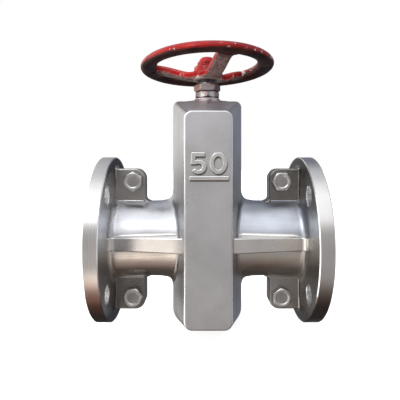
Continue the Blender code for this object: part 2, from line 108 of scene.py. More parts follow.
# Sleeve, bars and rods
SLEEVE_BORE_R, SLEEVE_R, COLLAR_R = 25.0, 32.0, 50.0
SLEEVE_PROUD = 0.6
PINCH_FLAT, PINCH_END = 12.0, 72.0  # where the wall is pressed flat, and where it begins to give
BORE_SHARE = 0.975  # how much of a bar's travel the bore's side of the wall takes

# Handwheel
RIM_R, RIM_Z = 57.8, 170.7
LEAN_SIDE, LEAN_FRONT = radians(1.5), radians(2.95)  # up on the right, and up at the front
LEAN_FROM, LEAN_TO = 14.0, 46.0  # the radii between which the lean sets in
RIM_WIDE, RIM_TALL, RIM_TILT = 8.3, 4.9, radians(-14)
RIM_POINTS, SECTION_POINTS = 144, 24
HUB_LOW, HUB_HIGH = 156.3, 169.6
SPOKE_SPAN, SPOKE_Z, SPOKE_RISE = (6.0, 55.0), 160.8, 9.7
SPOKE_HALF, SPOKE_THICK = (8.0, 7.4), 3.9
SPOKE_STEPS, SPOKE_POINTS = 22, 28
SPOKE_ANGLES = (radians(-70.5), radians(48), radians(168))


# ---------------------------------------------------------------- meshes


def skin(rings, closed=False, paint=None):
    """A closed shape through rings of points. `paint` gives the material index of the face after point j of
    ring i. Without `closed`, the first and last ring are capped."""
    bm = bmesh.new()
    rows = [[bm.verts.new([c * MM for c in point]) for point in points] for points in rings]
    pairs = list(zip(rows, rows[1:]))
    if closed:
        pairs.append((rows[-1], rows[0]))
    for i, (low, high) in enumerate(pairs):
        for j in range(len(low)):
            k = (j + 1) % len(low)
            face = bm.faces.new((low[j], low[k], high[k], high[j]))
            face.material_index = paint(i, j) if paint else 0
    if not closed:
        bm.faces.new(rows[0])
        bm.faces.new(rows[-1])
    bmesh.ops.recalc_face_normals(bm, faces=bm.faces)
    return bm


def painted(shape, index):
    for face in shape.faces:
        face.material_index = index
    return shape


def combined(shape, tools, operation):
    """The shape after each tool is added to it or cut from it."""
    mesh = bpy.data.meshes.new("combined")
    shape.to_mesh(mesh)
    shape.free()
    target = bpy.data.objects.new("combined", mesh)
    bpy.context.scene.collection.objects.link(target)
    helpers = []
    for tool in tools:
        tool_mesh = bpy.data.meshes.new("tool")
        tool.to_mesh(tool_mesh)
        tool.free()
        helper = bpy.data.objects.new("tool", tool_mesh)
        bpy.context.scene.collection.objects.link(helper)
        modifier = target.modifiers.new("step", "BOOLEAN")
        modifier.operation = operation
        modifier.solver = "EXACT"
        modifier.object = helper
        helpers.append(helper)
    graph = bpy.context.evaluated_depsgraph_get()
    result = bpy.data.meshes.new_from_object(target.evaluated_get(graph))
    for obj in [target] + helpers:
        old = obj.data
        bpy.data.objects.remove(obj)
        bpy.data.meshes.remove(old)
    made = bmesh.new()
    made.from_mesh(result)
    bpy.data.meshes.remove(result)
    return made


def united(shapes):
    return combined(shapes[0], shapes[1:], "UNION")


def carved(shape, tools):
    return combined(shape, tools, "DIFFERENCE")


def moved(shape, by):
    bmesh.ops.translate(shape, vec=[c * MM for c in by], verts=shape.verts)
    return shape


def add_piece(name, shape, materials, body, nodes, sharp=35):
    """A shown piece that rides on a CAD body, if one is given, and stands for CAD nodes."""
    mesh = bpy.data.meshes.new(name)
    shape.to_mesh(mesh)
    shape.free()
    for material in materials:
        mesh.materials.append(material)
    mesh.shade_smooth()
    mesh.set_sharp_from_angle(angle=radians(sharp))
    obj = bpy.data.objects.new(name, mesh)
    bpy.context.scene.collection.objects.link(obj)
    weighted = obj.modifiers.new("weighted", "WEIGHTED_NORMAL")
    weighted.keep_sharp = True
    weighted.weight = 80
    if body:
        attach(obj, body)
    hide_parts(*nodes)
    return obj


def mix(first, last, share):
    return first + (last - first) * share


def clamped(share):
    return min(max(share, 0.0), 1.0)


def eased(share):
    share = clamped(share)
    return share * share * (3 - 2 * share)


def on_axis(axis, height, u, v):
    return {"x": (height, u, v), "y": (u, height, v), "z": (u, v, height)}[axis]


def flats(angle, sides):
    """How much further out than its flats a polygon reaches at an angle, with a corner at 0."""
    sector = tau / sides
    return 1 / cos(angle % sector - sector / 2)


def ring(height, radius, kind="round", count=AROUND, axis="z"):
    """One ring of points about an axis. For a square, the radius is half its width over flats."""
    points = []
    for i in range(count):
        angle = tau * i / count
        reach = radius * flats(angle, 4) if kind == "square" else radius
        points.append(on_axis(axis, height, reach * cos(angle), reach * sin(angle)))
    return points


def turned(steps, closed=False, paint=None, **options):
    """A turned shape from (height, radius) or (height, radius, kind) steps."""
    return skin([ring(*step, **options) for step in steps], closed, paint)


def arc(centre, reach, first, last, steps):
    """Points on an ellipse between two angles in degrees."""
    points = []
    for i in range(steps + 1):
        angle = radians(mix(first, last, i / steps))
        points.append((centre[0] + reach[0] * cos(angle), centre[1] + reach[1] * sin(angle)))
    return points


def curve(centre, radius, first, last, steps):
    """Points on a circle between two angles in degrees."""
    return arc(centre, (radius, radius), first, last, steps)


def offset(outline, by):
    """A plane outline, drawn inwards by a distance, if it runs anticlockwise."""
    moved_points = []
    count = len(outline)
    for i, (x, z) in enumerate(outline):
        before, after = outline[i - 1], outline[(i + 1) % count]
        a = atan2(z - before[1], x - before[0])
        b = atan2(after[1] - z, after[0] - x)
        bend = (b - a + pi) % tau - pi
        direction = a + bend / 2 + pi / 2
        reach = by / max(cos(bend / 2), 0.4)
        moved_points.append((x + reach * cos(direction), z + reach * sin(direction)))
    return moved_points


def rounded_edge(face, edge, steps):
    """(depth, inset) levels round the edge of a face."""
    levels = []
    for i in range(steps + 1):
        angle = pi / 2 * i / steps
        levels.append((face - edge + edge * sin(angle), edge * (1 - cos(angle))))
    return levels


def both_ways(levels):
    """(depth, inset) levels that run from the middle to the front, and the same to the back."""
    return [(-depth, inset) for depth, inset in reversed(levels)] + levels


def plate(outline, proud, edge, steps=4, paint=None):
    """A prism that stands on the slab's front face, from an (x, z) outline, with its edge rounded."""
    rings = []
    for depth, inset in [(SLAB_FRONT - 1.0, 0.0)] + rounded_edge(SLAB_FRONT + proud, edge, steps):
        rings.append([(x, -depth, z) for x, z in offset(outline, inset)])
    return skin(rings, paint=paint)


# ---------------------------------------------------------------- casting shapes

BLASTED, POLISHED, DULL, TURNED, EDGE_HIGHLIGHT, FACE, RIB, RAISED, LUG, LUG_PAINTED_SHADE, PAINTED_SHADE, HOLE, BACK, BOSS = range(14)


def slab_outline(depth, inset, corner_steps=10):
    """The slab's rounded outline at a distance from the parting plane."""
    share = clamped(depth / SLAB_FRONT)
    half = mix(*SLAB_HALF, share) - inset
    top, bottom = mix(*SLAB_TOP, share) - inset, mix(*SLAB_BOTTOM, share) + inset
    upper = max(mix(*TOP_CORNER, share) - inset, 2.0)
    lower = max(mix(*BOTTOM_CORNER, share) - inset, 2.0)
    outline = curve((half - upper, top - upper), upper, 0, 90, corner_steps)
    outline += curve((upper - half, top - upper), upper, 90, 180, corner_steps)
    outline += curve((lower - half, bottom + lower), lower, 180, 270, corner_steps)
    outline += curve((half - lower, bottom + lower), lower, 270, 360, corner_steps)
    return outline


def slab_rings(levels):
    """Rings for a block that tapers like the slab, both ways from its middle."""
    return [[(x, depth, z) for x, z in slab_outline(abs(depth), inset)] for depth, inset in both_ways(levels)]


def slab():
    """The tall block, which tapers to a rounded edge at its front and back."""
    edge_steps = 5
    levels = [(4.0, 0.0), (20.0, 0.0), (40.0, 0.0)] + rounded_edge(SLAB_FRONT, SLAB_EDGE, edge_steps)
    last = 2 * len(levels) - 1 - edge_steps
    # the rounded edges take the bright edge colour: polished, and painted lighter as a highlight
    shape = skin(slab_rings(levels), paint=lambda i, j: BLASTED if edge_steps <= i < last else EDGE_HIGHLIGHT)
    for face in shape.faces:
        if abs(face.calc_center_median().y) > (SLAB_FRONT - 0.2) * MM:
            face.material_index = FACE
    return shape


def slab_hollow():
    levels = [(4.0, WALL), (30.0, WALL), (SLAB_FRONT - WALL - 2.0, WALL), (SLAB_FRONT - WALL, WALL + 2.0)]
    return skin(slab_rings(levels))


def neck_radius(x):
    return NECK_R - WAIST * max(1 - ((x - WAIST_X) / WAIST_REACH) ** 2, 0.0)


def pipe_profile(angle):
    """(x, radius) steps at an angle from the Z axis: from a flange's outer face, along the neck and, through
    a fillet that is smaller at the front, into the slab's sloping side."""
    outer = FLANGE_R - FLANGE_CHAMFER
    steps = [(FLANGE_OUT, outer), (FLANGE_OUT - FLANGE_CHAMFER, FLANGE_R)]
    steps += [(FLANGE_IN + FLANGE_CHAMFER, FLANGE_R), (FLANGE_IN, outer)]
    neck_end = FLANGE_IN - FLANGE_FILLET
    steps += curve((neck_end, NECK_R + FLANGE_FILLET), FLANGE_FILLET, 0, -90, FILLET_STEPS)
    r = mix(SIDE_FILLET, FRONT_FILLET, abs(sin(angle)) ** 1.5)
    foot = side_at(NECK_R * sin(angle)) + r
    for i in range(1, NECK_STEPS):
        x = mix(neck_end, foot, i / NECK_STEPS)
        steps.append((x, neck_radius(x)))
    levels = curve((r, NECK_R + r), r, 270, 180 + CROSSING, FILLET_STEPS)
    rise, radius = levels[-1]
    sunk = 0.3
    radius += (rise + sunk) / tan(radians(CROSSING))
    levels += [(-sunk, radius), (1.0 - WALL, radius)]
    for rise, radius in levels:
        steps.append((side_at(radius * sin(angle)) + rise, radius))
    return steps


def pipe():
    """Both flanges and the neck between them, in one skin from the right to the left."""
    angles = [tau * (i + 0.5) / PIPE_POINTS for i in range(PIPE_POINTS)]
    right = []
    for stations in zip(*[pipe_profile(angle) for angle in angles]):
        right.append([(x, r * sin(a), r * cos(a)) for (x, r), a in zip(stations, angles)])
    left = [[(-x, y, z) for x, y, z in points] for points in reversed(right)]
    facets = [EDGE_HIGHLIGHT, TURNED, EDGE_HIGHLIGHT, BACK]
    steps = len(right)
    kinds = facets + [DULL] * (steps - 4) + [POLISHED] * (steps - 5) + facets[::-1]
    chamfers = (0, 2, 2 * steps - 4, 2 * steps - 2)

    def paint(i, j):
        # chamfers take the bright edge colour, a painted highlight, except on the flange's lowest third,
        # where they take the turned colour
        underneath = cos(angles[j]) < -0.5
        return TURNED if underneath and i in chamfers else kinds[i]

    return skin(right + left, paint=paint)


def side_at(depth):
    return mix(*SLAB_HALF, abs(depth) / SLAB_FRONT)


def rib_share(x):
    """How far along the rib a station is, from the slab to the flange's fillet."""
    return clamped((x - RIB_START) / (FLANGE_IN - FLANGE_FILLET - RIB_START))


def rib_front(x):
    """How far out the rib's front stands at a distance along the pipe."""
    front = mix(*RIB_FRONT, rib_share(x))
    into = x - (FLANGE_IN - FLANGE_FILLET)
    if into > 0:
        front += FLANGE_FILLET - sqrt(FLANGE_FILLET**2 - into**2)
    return front


def rib(end, side):
    """The rib along the neck, filleted above, with a crease under it that is painted dark as shade."""
    stations = [18.0, 22.0, 27.0, 33.0, 40.0, 48.0, 56.0, 64.0, 72.0, 79.0]
    stations += [FLANGE_IN + FLANGE_FILLET * (sin(radians(a)) - 1) for a in (0, 20, 36, 50, 62, 74)] + [91.0]
    crease_low = RIB_LOW - 1.0
    rings = []
    for x in stations:
        front = rib_front(min(x, FLANGE_IN - 0.4))
        top = mix(*RIB_TOP, rib_share(x))
        foot = max(min(2.6, front - NECK_R - 1.4), 0.8)
        base = sqrt(NECK_R**2 - (top + foot) ** 2) - 0.1
        section = [(RIB_ROOT, top + foot), (base, top + foot)]
        section += curve((base + foot, top + foot), foot, 205, 270, 5)
        section += curve((front - RIB_CORNER, top - RIB_CORNER), RIB_CORNER, 90, 0, 4)
        section += curve((front - RIB_CORNER, RIB_LOW + RIB_CORNER), RIB_CORNER, 0, -90, 4)
        crease = sqrt(neck_radius(x) ** 2 - crease_low**2) + 0.12
        section += [(crease, RIB_LOW), (crease, crease_low), (RIB_ROOT, crease_low)]
        rings.append([(end * x, side * y, z) for y, z in section])
    # the crease's faces take the dark lug metal: a painted shadow line under the rib
    dark = len(rings[0]) - 4
    return skin(rings, paint=lambda i, j: LUG_PAINTED_SHADE if j >= dark else RIB)


def lug_outline(foot):
    """A lug's outline, upper right, with its fillets down to the neck and across to the flange."""
    outline = [(FLANGE_IN + 5.0, 30.0), (FLANGE_IN + 5.0, LUG_TOP + 3.0)]
    outline += curve((FLANGE_IN - 3.0, LUG_TOP + 3.0), 3.0, 0, -90, 5)
    outline += curve((LUG_INNER + LUG_CORNER, LUG_TOP - LUG_CORNER), LUG_CORNER, 90, 180, 10)
    outline += curve((LUG_INNER - 4.0, foot + 4.0), 4.0, 0, -90, 6)
    outline += [(LUG_INNER - 6.0, foot - 3.0), (LUG_INNER - 2.0, 30.0)]
    return outline


def lug(end, up):
    """A bolting lug through both castings, with rounded edges on its two faces."""
    rings = []
    for depth, inset in both_ways([(2.0, 0.0), (5.0, 0.0)] + rounded_edge(LUG_FACE, LUG_EDGE, 4)):
        foot = sqrt(NECK_R**2 - depth**2) - OVERLAP
        rings.append([(end * x, depth, up * z) for x, z in offset(lug_outline(foot), inset)])
    return painted(skin(rings), lug_shading(end, up))


# the upper right and lower left lugs take a darker copy of the lug metal: painted shade
def lug_shading(end, up):
    return LUG_PAINTED_SHADE if end == up else LUG


def lug_fillets(end, up, side):
    """The fillets from a lug's face to the flange and to the neck."""
    r, edge = LUG_FILLET, LUG_FACE + LUG_FILLET
    corner = [(FLANGE_IN + 1.0, LUG_FACE - 1.0)]
    corner += curve((FLANGE_IN - r, edge - OVERLAP), r, -90, 0, 6)
    corner.append((FLANGE_IN + 1.0, edge))
    upright = [[(end * x, side * y, up * z) for x, y in corner] for z in (33.0, LUG_TOP - 1.5)]
    centre = sqrt((NECK_R + r) ** 2 - edge**2)
    last = 270 - degrees(atan2(edge, centre))
    section = [(LUG_FACE - 1.0, centre)]
    section += curve((edge - OVERLAP, centre - OVERLAP), r, 180, last, 6)
    section.append((LUG_FACE, centre - 5.0))
    level = [[(end * x, side * y, up * z) for y, z in section] for x in (LUG_INNER + 1.8, FLANGE_IN + 0.5)]
    return [painted(skin(upright), lug_shading(end, up)), painted(skin(level), DULL if end > 0 else POLISHED)]


def boss():
    """The stem's boss and the roof's flare up to it."""
    core = turned([(118.0, 12.7), (BOSS_TOP - 0.6, 12.6), (BOSS_TOP, 12.0)])
    rings = []
    for i in range(64):
        angle = tau * (i + 0.5) / 64
        points = []
        for k in range(9):
            lean = pi / 2 * k / 8
            radius = mix(FLARE_R, 12.5, sin(lean))
            y = radius * sin(angle)
            roof = mix(*SLAB_TOP, abs(y) / SLAB_FRONT) - OVERLAP
            points.append((radius * cos(angle), y, mix(roof, BOSS_TOP - 0.7, 1 - cos(lean))))
        points.append((11.0 * cos(angle), 11.0 * sin(angle), BOSS_TOP - 0.7))
        points.append((11.0 * cos(angle), 11.0 * sin(angle), 126.0))
        points.append((FLARE_R * cos(angle), FLARE_R * sin(angle), 126.0))
        rings.append(points)
    return [painted(core, BOSS), painted(skin(rings, closed=True), BOSS)]


def casting_cuts():
    """Everything that is hollow in the casting."""
    cuts = [slab_hollow(), turned([(-110.0, BORE_R), (110.0, BORE_R)], axis="x", count=96)]
    stem_hole = [(110.0, 8.6), (122.5, 8.6), (122.5, 12.9), (130.2, 12.9), (130.2, 10.3), (145.0, 10.3)]
    cuts.append(turned(stem_hole))
    cuts = [painted(cut, BLASTED) for cut in cuts]
    for end in (-1, 1):
        recess = [(FLANGE_OUT - RECESS_DEPTH, RECESS_R), (FLANGE_OUT + 2.0, RECESS_R)]
        cuts.append(painted(turned([(end * x, r) for x, r in recess], axis="x", count=96), TURNED))
        for up in (-1, 1):
            bolt_hole = turned([(-20.0, 5.5), (20.0, 5.5)], axis="y", count=32)
            cuts.append(painted(moved(bolt_hole, (end * LUG_BOLT_X, 0, up * LUG_BOLT_Z)), BLASTED))
            for side in (-1, 1):
                steps = [(86.0, HOLE_R + 1.0), (FLANGE_IN - 0.4, HOLE_R + 1.0), (FLANGE_IN + 0.6, HOLE_R)]
                steps += [(FLANGE_OUT - 0.6, HOLE_R), (FLANGE_OUT + 0.4, HOLE_R + 1.0), (110.0, HOLE_R + 1.0)]
                across = HOLE_CIRCLE_R * cos(pi / 4)
                hole = turned([(end * x, r) for x, r in steps], axis="x")
                cuts.append(painted(moved(hole, (0, side * across, up * across)), HOLE))
    return cuts


def box(low, high):
    bm = bmesh.new()
    bmesh.ops.create_cube(bm, size=1.0)
    for vert in bm.verts:
        vert.co = [mix(a, b, c + 0.5) * MM for a, b, c in zip(low, high, vert.co)]
    return bm


def raised(outline):
    """A raised stroke on the front, with painted shade on its walls, and its rounded edge polished and
    painted lighter as a highlight.
    """
    shape = plate(outline, RELIEF, DIGIT_EDGE, paint=lambda i, j: PAINTED_SHADE if i == 0 else EDGE_HIGHLIGHT)
    for face in shape.faces:
        if face.calc_center_median().y < -(SLAB_FRONT + RELIEF - 0.01) * MM:
            face.material_index = RAISED
    return shape


def painted_shadow(outline):
    """A painted shadow along the lower edges of a stroke: a dark copy of it, moved down and right, a hair
    proud of the face.
    """
    low = [(x + SHADOW_SHIFT[0], z + SHADOW_SHIFT[1]) for x, z in outline]
    return painted(plate(low, SHADOW_RELIEF, SHADOW_EDGE, steps=1), PAINTED_SHADE)


def zero(centre, proud, edge, kinds):
    """The closed figure, as an elliptical ring: up its outer wall and down its inner one."""
    levels = [(SLAB_FRONT - 1.0, 0.0), (SLAB_FRONT + proud - edge, 0.0)]
    levels += [(SLAB_FRONT + proud - edge * 0.3, edge * 0.3), (SLAB_FRONT + proud, edge)]
    walls = [(ZERO_OUTER, depth, -inset) for depth, inset in levels]
    walls += [(ZERO_INNER, depth, inset) for depth, inset in reversed(levels)]
    rings = []
    for (wide, tall), depth, by in walls:
        rings.append([(x, -depth, z) for x, z in arc(centre, (wide + by, tall + by), 0, 352.5, 47)])
    return skin(rings, closed=True, paint=lambda i, j: kinds[i])


def numerals():
    """The raised nominal size on the front, a plain 5 and 0 over a bar, with a painted shadow under each."""
    under = DIGIT_TOP - DIGIT_STROKE
    five = [(-2.9, DIGIT_TOP), (-2.9, under), (-10.7, under), (-11.1, 75.6)]
    five += arc(BOWL, BOWL_OUTER, 100, -150, 28) + arc(BOWL, BOWL_INNER, -150, 130, 20)
    five += [(-14.9, 72.4), (-14.1, DIGIT_TOP)]
    five.reverse()
    left, right = BAR_ENDS
    low, high = BAR_LEVELS
    bar = [(left, low), (right, low), (right, high), (left, high)]
    bright = [PAINTED_SHADE, EDGE_HIGHLIGHT, EDGE_HIGHLIGHT, RAISED, EDGE_HIGHLIGHT, EDGE_HIGHLIGHT, PAINTED_SHADE, PAINTED_SHADE]
    # dark copies of the strokes, moved down and right, are painted shadows
    below = (ZERO[0] + SHADOW_SHIFT[0], ZERO[1] + SHADOW_SHIFT[1])
    painted_shading = [painted_shadow(five), painted_shadow(bar), zero(below, SHADOW_RELIEF, SHADOW_EDGE, [PAINTED_SHADE] * 8)]
    return painted_shading + [raised(five), zero(ZERO, RELIEF, DIGIT_EDGE, bright), raised(bar)]


def make_housings(materials):
    """The casting is made whole, then split along the pipe into its two halves."""
    shapes = [pipe(), slab()] + boss()
    for end in (-1, 1):
        shapes += [rib(end, side) for side in (-1, 1)]
        for up in (-1, 1):
            shapes.append(lug(end, up))
            for side in (-1, 1):
                shapes += lug_fillets(end, up, side)
    shapes += numerals()
    whole = carved(united(shapes), casting_cuts())
    for side, name in ((-1, "front_housing"), (1, "rear_housing")):
        low, high = sorted((-side * 120, side * SEAM))
        far = box((-120, low, -120), (120, high, 160))
        half = carved(whole.copy(), [painted(far, TURNED)])
        bmesh.ops.remove_doubles(half, verts=half.verts, dist=0.00001)
        bmesh.ops.recalc_face_normals(half, faces=half.faces)
        add_piece(f"casting_{name}", half, materials, "housing", [name], sharp=32)
    whole.free()


# ---------------------------------------------------------------- fasteners


def reach_ring(height, reaches, axis, turn):
    points = []
    for k, reach in enumerate(reaches):
        angle = tau * k / len(reaches) + turn
        points.append(on_axis(axis, height, reach * cos(angle), reach * sin(angle)))
    return points


def round_rings(steps, axis="z", turn=0.0):
    """Rings from (height, radius) steps, which join on to a hexagon's."""
    return [reach_ring(height, [radius] * AROUND, axis, turn) for height, radius in steps]


def hex_rings(low, high, half, axis="z", turn=0.0, chamfer_high=True):
    """Rings of a hexagon bar whose ends are chamfered by a cone."""
    corner, top = half / cos(pi / 6), half * 0.95
    drop = (corner - top) * tan(radians(30))
    shares = [i / 4 for i in range(5)]
    cones = [(low + drop * share, mix(top, corner, share)) for share in shares]
    if chamfer_high:
        cones += [(high - drop * (1 - share), mix(corner, top, share)) for share in shares]
    else:
        cones.append((high, corner))
    rings = []
    for height, cone in cones:
        reaches = [min(half * flats(tau * k / AROUND, 6), cone) for k in range(AROUND)]
        rings.append(reach_ring(height, reaches, axis, turn))
    return rings


def threaded(low, high, radius, depth, pitch, axis="z", hand=1, count=32, turn=0.0):
    """Rings of a helical thread, which fades out at its ends."""
    rings = []
    steps = max(int((high - low) / pitch * 8), 2)
    for i in range(steps + 1):
        height = mix(low, high, i / steps)
        full = clamped(min(height - low, high - height) / RUNOUT)
        reaches = []
        for k in range(count):
            phase = (height / pitch - hand * k / count) % 1.0
            cut = clamped(1.5 - 3.0 * abs(2 * phase - 1))
            reaches.append(radius - depth * (1 - full + full * cut))
        rings.append(reach_ring(height, reaches, axis, turn))
    return rings


def hex_nut(low, high, turn):
    """An M10 nut about the Y axis, chamfered on both faces, with a countersunk hole."""
    rings = round_rings([(low + 0.6, M10_HOLE), (low, M10_HOLE + 0.6)], "y", turn)
    rings += hex_rings(low, high, M10_HEX, "y", turn)
    rings += round_rings([(high, M10_HOLE + 0.6), (high - 0.6, M10_HOLE)], "y", turn)
    return skin(rings, closed=True)


def bolt(turn):
    """An M10 hexagon bolt along Y, with its head in front. The head has a dish in it, painted darker as
    shade.
    """
    seat = -LUG_FACE - 0.3
    head = seat - HEAD_HEIGHT
    rings = round_rings([(head + 0.7, 5.2), (head + 0.4, 5.8), (head, 6.3), (head, 7.1)], "y", turn)
    rings += hex_rings(head, seat - 0.5, M10_HEX, "y", turn, chamfer_high=False)
    rings += round_rings([(seat - 0.5, 8.2), (seat, 8.2), (seat, M10_R), (6.0, M10_R)], "y", turn)
    rings += threaded(6.0, 22.4, M10_R, M10_DEPTH, M10_PITCH, "y", count=AROUND, turn=turn)
    shape = skin(rings)
    # painted shade: the dish takes the darker washer steel
    for face in shape.faces:
        centre = face.calc_center_median() / MM
        if centre.y < head + 0.9 and hypot(centre.x, centre.z) < 5.4:
            face.material_index = 1
    return shape


def spring_washer(low):
    """A split spring washer about the Y axis, a little sprung at its cut."""
    thick = 2.2
    section = [(5.4, 0.3), (5.6, 0.15), (8.5, 0.15), (8.7, 0.3)]
    section += [(r, thick - height) for r, height in reversed(section)]
    rings = []
    for i in range(61):
        angle = radians(100 + 350 * i / 60)
        rise = low + 0.35 * (i / 60 - 0.5)
        rings.append([(r * cos(angle), height + rise, r * sin(angle)) for r, height in section])
    return skin(rings)


def make_lug_bolts(steel, dull):
    turns = {("left", "upper"): 90, ("right", "upper"): 60, ("left", "lower"): 68, ("right", "lower"): 98}
    for (end, level), degrees_turned in turns.items():
        at = (LUG_BOLT_X * (-1 if end == "left" else 1), 0, LUG_BOLT_Z * (1 if level == "upper" else -1))
        shapes = {
            "bolt": bolt(radians(degrees_turned)),
            "washer": spring_washer(LUG_FACE + 0.3),
            "nut": hex_nut(LUG_FACE + 3.0, LUG_FACE + 11.0, radians(degrees_turned + 17)),
        }
        for kind, shape in shapes.items():
            node = f"lug_{kind}_{end}_{level}"
            materials = [dull] if kind == "washer" else [steel, dull]
            shape = moved(shape, at)
            add_piece(f"hex_{node}", shape, materials, "housing", [node], sharp=28)


# ---------------------------------------------------------------- stem, gland and handwheel


def make_stem(steel, stained):
    """Two opposed threads for the bars, then a collar, a plain neck, a square and a thread for the nut."""
    rings = threaded(38.0, 78.0, STEM_R, STEM_DEPTH, STEM_PITCH, hand=1)
    rings += threaded(79.6, 120.0, STEM_R, STEM_DEPTH, STEM_PITCH, hand=-1)
    steps = [(121.0, STEM_R), (124.6, STEM_R), (124.6, 11.6), (125.0, 12.0), (127.7, 12.0), (128.1, 11.6)]
    steps += [(128.1, STEM_NECK_R), (HUB_LOW + 0.9, STEM_NECK_R)]
    steps += [(HUB_LOW + 1.4, 5.2, "square"), (HUB_HIGH - 0.6, 5.2, "square"), (HUB_HIGH - 0.6, M10_R)]
    rings += [ring(*step, count=32) for step in steps]
    rings += threaded(HUB_HIGH, 179.3, M10_R, M10_DEPTH, M10_PITCH)
    stem = skin(rings)
    # the stem between the gland and the hub takes the black material: painted shade
    for face in stem.faces:
        if 128.5 < face.calc_center_median().z / MM < HUB_LOW + 1:
            face.material_index = 1
    add_piece("threaded_stem", stem, [steel, stained], "stem_and_wheel", ["stem"], sharp=30)


def make_gland(steel, stained, rubber):
    """The screwed bushing, its packing and the nut over it."""
    turn = radians(30)
    rings = round_rings([(130.5, GLAND_HOLE), (130.5, 9.4), (131.1, 10.0), (138.3, 10.0)], turn=turn)
    rings += hex_rings(138.3, 144.4, 11.6, turn=turn)
    cup = [(144.4, 9.2), (150.6, 9.2), (150.6, 8.6), (146.8, 8.6), (146.8, GLAND_HOLE)]
    bushing = skin(rings + round_rings(cup, turn=turn), closed=True)
    add_piece("gland_bushing", bushing, [steel], "housing", ["stem_bushing"], sharp=28)
    packing = turned([(147.1, GLAND_HOLE), (147.1, 8.3), (150.3, 8.3), (150.3, GLAND_HOLE)], closed=True)
    add_piece("gland_packing", packing, [rubber], "housing", ["stem_packing"])
    turn = radians(2)
    rings = round_rings([(150.9, 9.5), (144.8, 9.5)], turn=turn)
    rings += hex_rings(144.8, 152.4, 11.4, turn=turn)
    collar = [(152.4, 9.6), (152.7, 9.3), (153.2, 9.2), (153.4, 8.9)]
    collar += [(153.4, GLAND_HOLE + 0.4), (153.0, GLAND_HOLE), (150.9, GLAND_HOLE)]
    nut = skin(rings + round_rings(collar, turn=turn), closed=True)
    add_piece("gland_hex_nut", nut, [stained], "housing", ["gland_nut"], sharp=28)


def leaning(x, y, z):
    """The wheel was cast a little untrue: its hub stands square and its rim leans."""
    share = eased((hypot(x, y) - LEAN_FROM) / (LEAN_TO - LEAN_FROM))
    return x, y, z + share * (x * sin(LEAN_SIDE) - y * sin(LEAN_FRONT))


def rim_shape():
    rings = []
    for i in range(RIM_POINTS):
        around = tau * i / RIM_POINTS
        points = []
        for k in range(SECTION_POINTS):
            angle = tau * k / SECTION_POINTS
            u, v = RIM_WIDE * cos(angle), RIM_TALL * sin(angle)
            r = RIM_R + u * cos(RIM_TILT) - v * sin(RIM_TILT)
            z = RIM_Z + u * sin(RIM_TILT) + v * cos(RIM_TILT)
            points.append(leaning(r * cos(around), r * sin(around), z))
        rings.append(points)
    return skin(rings, closed=True)


def spoke_path(share):
    """The middle of a spoke at a share of its length, as (radius, height)."""
    radius = mix(*SPOKE_SPAN, share)
    return radius, SPOKE_Z + SPOKE_RISE * eased((radius - 14.0) / 38.0)


def bulged(value):
    """Squares up a sine or a cosine, so that a section gets flat sides."""
    return sqrt(abs(value)) * (1 if value >= 0 else -1)


def spoke_shape(around):
    """A flat-sided spoke that rises from the hub's foot to the rim, and spreads where it meets each."""
    rings = []
    for i in range(SPOKE_STEPS + 1):
        share = i / SPOKE_STEPS
        r, z = spoke_path(share)
        before, after = spoke_path(share - 0.02), spoke_path(share + 0.02)
        length = hypot(after[0] - before[0], after[1] - before[1])
        dr, dz = (after[0] - before[0]) / length, (after[1] - before[1]) / length
        at_hub, at_rim = max(1 - (r - 12.0) / 8.0, 0.0), max(1 - (52.0 - r) / 8.0, 0.0)
        spread = min(2.4 * at_hub**2 + 3.0 * at_rim**2, 4.0)
        half = mix(*SPOKE_HALF, share) + spread
        thick = SPOKE_THICK + 0.2 * spread
        points = []
        for k in range(SPOKE_POINTS):
            angle = tau * (k + 0.5) / SPOKE_POINTS
            wide, tall = half * bulged(cos(angle)), thick * bulged(sin(angle))
            reach = r - tall * dz
            x = reach * cos(around) - wide * sin(around)
            y = reach * sin(around) + wide * cos(around)
            points.append(leaning(x, y, z + tall * dr))
        rings.append(points)
    return skin(rings)


def hub_shape():
    """The hub, with its foot left bare."""
    steps = [(HUB_LOW, 7.9), (HUB_LOW, 13.6), (HUB_LOW + 0.4, 14.2), (HUB_LOW + 1.2, 14.5), (159.5, 14.5)]
    steps += [(161.0, 14.2), (166.0, 13.2), (HUB_HIGH - 0.8, 13.0), (HUB_HIGH - 0.2, 12.6), (HUB_HIGH, 12.0)]
    hub = turned(steps, paint=lambda i, j: 1 if i < 4 else 0)
    for face in hub.faces:
        if face.calc_center_median().z < (HUB_LOW + 0.1) * MM:
            face.material_index = 1
    return hub


def make_handwheel(paint, bare):
    """The wheel is cast in one with its hub, which sits on the stem's square."""
    square = turned([(150.0, 5.6, "square"), (180.0, 5.6, "square")])
    foot = turned([(150.0, 7.6), (HUB_LOW + 1.5, 7.6)])
    shapes = [rim_shape(), hub_shape()] + [spoke_shape(around) for around in SPOKE_ANGLES]
    wheel = carved(united(shapes), [painted(square, 1), painted(foot, 1)])
    add_piece("cast_handwheel", wheel, [paint, bare], "stem_and_wheel", ["handwheel"], sharp=40)
    section = [(170.0, 5.4), (170.0, 10.4), (170.2, 10.6), (171.5, 10.6), (171.7, 10.4), (171.7, 5.4)]
    washer = turned(section, closed=True)
    add_piece("wheel_washer", washer, [paint], "stem_and_wheel", ["handwheel_washer"])
    turn = radians(12)
    rings = hex_rings(172.0, 175.0, M10_HEX, turn=turn)
    dome = [(176.2, 8.0), (177.4, 7.2), (178.4, 6.2), (179.0, M10_HOLE), (172.0, M10_HOLE)]
    nut = skin(rings + round_rings(dome, turn=turn), closed=True)
    add_piece("wheel_nut", nut, [paint], "stem_and_wheel", ["handwheel_nut"], sharp=28)


# ---------------------------------------------------------------- sleeve


